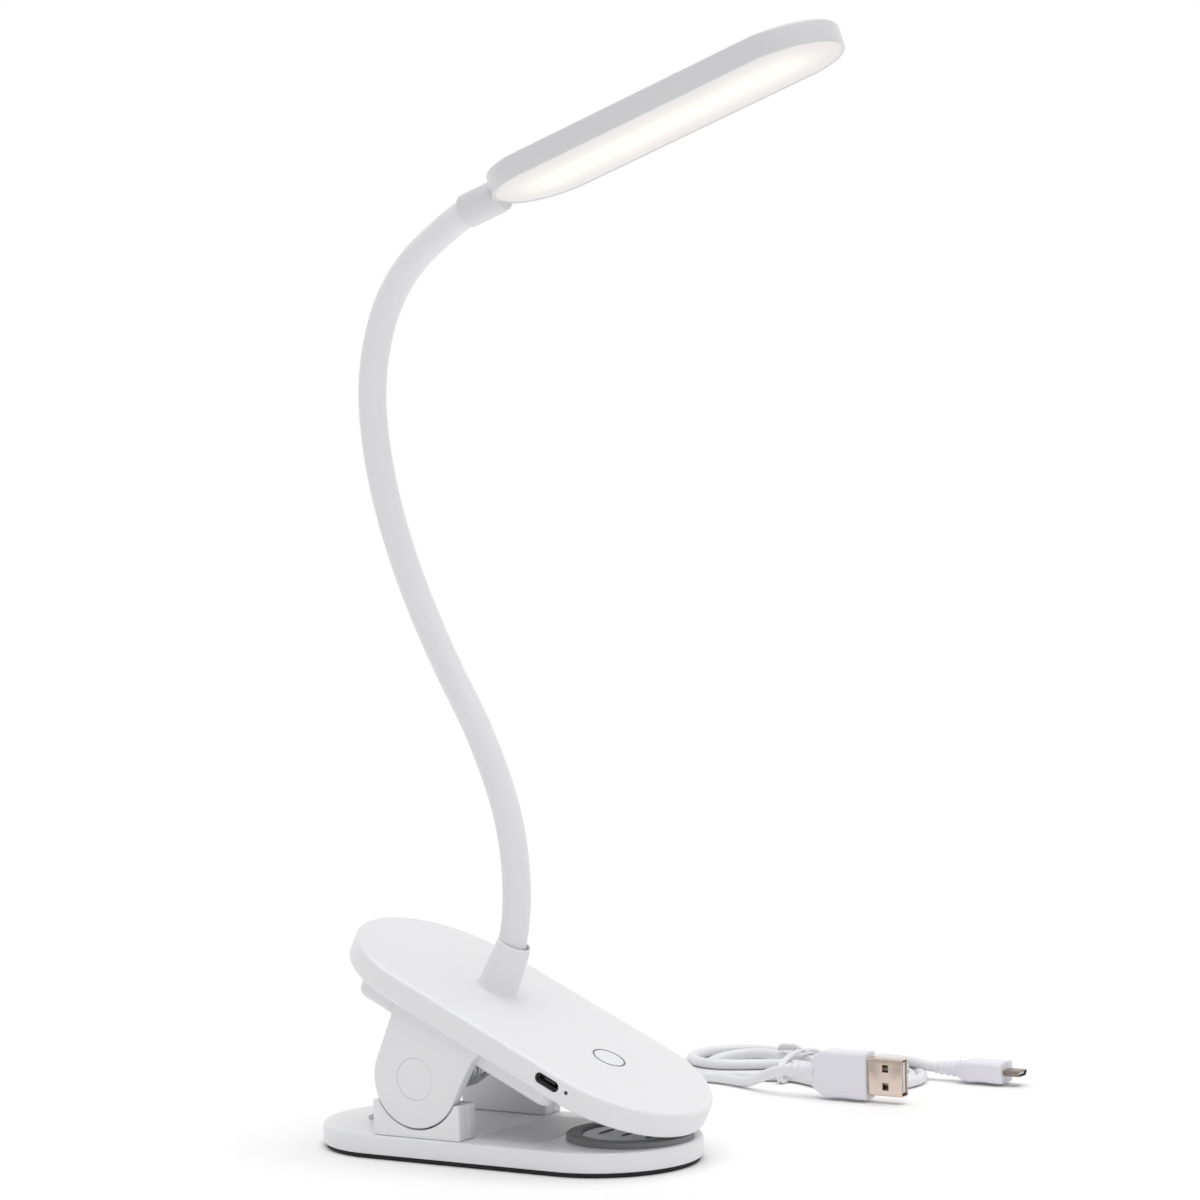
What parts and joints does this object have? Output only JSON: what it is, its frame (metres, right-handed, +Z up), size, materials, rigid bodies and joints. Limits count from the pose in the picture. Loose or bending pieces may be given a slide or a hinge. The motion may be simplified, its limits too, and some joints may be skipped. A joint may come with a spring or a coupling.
{
  "type": "clip on reading lamp",
  "caption": "White rechargeable LED reading lamp: a slim rounded head on a bendable gooseneck, rising from a spring clip with oblong jaws; a tied charging cable lies beside it.",
  "frame": {"origin": "centre of the rubber foot's underside", "axes": "+Z up; +X along the jaws towards the tip with the touch button; +Y to the far side"},
  "size_m": [0.18, 0.2049, 0.3287],
  "materials": {
    "white_shell": "satin-gloss moulded white",
    "neck_sleeve": "smooth satin sleeve",
    "steel": "plain bright steel",
    "foot_rubber": "matte black",
    "grip_rubber": "matte dark grey",
    "grip_field": "matte pale grey",
    "inner_white": "satin white",
    "touch_ring": "printed grey ring",
    "contact_brass": "plain",
    "dark_window": "dark light pipe",
    "battery_foil": "foil pouch",
    "circuit_board": "solder mask",
    "led_board": "white solder mask",
    "diffuser": "opal, lit warm white",
    "cable_jacket": "soft satin PVC",
    "usb_plating": "pale gilt plating"
  },
  "bodies": {
    "lower_jaw": {"lower_plate": "white_shell", "lower_cover": "inner_white", "counterweight": "steel", "foot_pad": "foot_rubber", "cheek_screw_near_rear": "steel", "cheek_screw_near_front": "steel", "cheek_screw_far_rear": "steel", "cheek_screw_far_front": "steel", "cheek_near": "white_shell", "cheek_far": "white_shell", "hinge_pin": "steel", "torsion_spring": "steel", "lower_grip_ring": "grip_rubber", "lower_grip_field": "grip_field"},
    "upper_jaw": {"top_shell": "white_shell", "under_tray": "white_shell", "pin_cap_near": "white_shell", "pin_cap_far": "white_shell", "tray_screw_1": "steel", "tray_screw_2": "steel", "touch_ring": "touch_ring", "touch_sensor": "contact_brass", "charge_lamp": "dark_window", "battery": "battery_foil", "main_board": "circuit_board", "usb_socket": "steel", "upper_grip_pad": "grip_rubber", "neck_collar": "white_shell", "neck_root": "neck_sleeve", "collar_nut": "steel"},
    "neck_1": {"neck_link_1": "neck_sleeve", "neck_core_1": "steel"},
    "neck_2": {"neck_link_2": "neck_sleeve", "neck_core_2": "steel"},
    "neck_3": {"neck_link_3": "neck_sleeve", "neck_core_3": "steel"},
    "neck_4": {"neck_link_4": "neck_sleeve", "neck_core_4": "steel"},
    "neck_5": {"neck_link_5": "neck_sleeve", "neck_core_5": "steel"},
    "neck_6": {"neck_link_6": "neck_sleeve", "neck_core_6": "steel"},
    "neck_7": {"neck_link_7": "neck_sleeve", "neck_core_7": "steel"},
    "neck_8": {"neck_link_8": "neck_sleeve", "neck_core_8": "steel"},
    "head": {"head_shell": "white_shell", "diffuser": "diffuser", "reflector_frame": "inner_white", "led_board": "led_board", "head_connector": "white_shell", "head_tenon": "steel"},
    "charging_cable": {"cable_hank": "cable_jacket", "twist_tie": "cable_jacket", "usb_a_grip": "cable_jacket", "usb_a_shell": "usb_plating", "micro_usb_grip": "cable_jacket", "micro_usb_shell": "steel", "usb_a_lead": "cable_jacket", "micro_usb_lead": "cable_jacket"}
  },
  "joints": [
    {"name": "clip_hinge", "type": "hinge", "parent": "lower_jaw", "child": "upper_jaw", "pos_m": [-0.015, 0, 0.025], "axis": [0, -1, 0], "range_deg": [0, 32], "stiffness_Nm_per_rad": 0.6, "springref_deg": -28.65, "deforming": ["torsion_spring"]},
    {"name": "neck_bend_1", "type": "hinge", "parent": "upper_jaw", "child": "neck_1", "pos_m": [0.00433, 0, 0.06564], "axis": [0, 1, 0], "range_deg": [-16, 25]},
    {"name": "neck_sway_2", "type": "hinge", "parent": "neck_1", "child": "neck_2", "pos_m": [0.00401, 0, 0.09574], "axis": [0.9842, 0, 0.1771], "range_deg": [-25, 25]},
    {"name": "neck_bend_3", "type": "hinge", "parent": "neck_2", "child": "neck_3", "pos_m": [-0.00618, 0, 0.12406], "axis": [0, 1, 0], "range_deg": [-25, 25]},
    {"name": "neck_sway_4", "type": "hinge", "parent": "neck_3", "child": "neck_4", "pos_m": [-0.02146, 0, 0.14999], "axis": [0.8862, 0, 0.4633], "range_deg": [-25, 25]},
    {"name": "neck_bend_5", "type": "hinge", "parent": "neck_4", "child": "neck_5", "pos_m": [-0.03404, 0, 0.17734], "axis": [0, 1, 0], "range_deg": [-25, 25]},
    {"name": "neck_sway_6", "type": "hinge", "parent": "neck_5", "child": "neck_6", "pos_m": [-0.04274, 0, 0.20616], "axis": [0.9823, 0, 0.1874], "range_deg": [-25, 25]},
    {"name": "neck_bend_7", "type": "hinge", "parent": "neck_6", "child": "neck_7", "pos_m": [-0.04526, 0, 0.23615], "axis": [0, 1, 0], "range_deg": [-25, 17]},
    {"name": "neck_sway_8", "type": "hinge", "parent": "neck_7", "child": "neck_8", "pos_m": [-0.03521, 0, 0.26452], "axis": [0.7992, 0, -0.6011], "range_deg": [-22, 22]},
    {"name": "head_tilt", "type": "hinge", "parent": "neck_8", "child": "head", "pos_m": [-0.01073, 0, 0.28204], "axis": [0, 1, 0], "range_deg": [-25, 25]},
    {"name": "cable_lift", "type": "slide", "parent": "lower_jaw", "child": "charging_cable", "axis": [0, 0, 1], "range_m": [0, 0.15]}
  ]
}
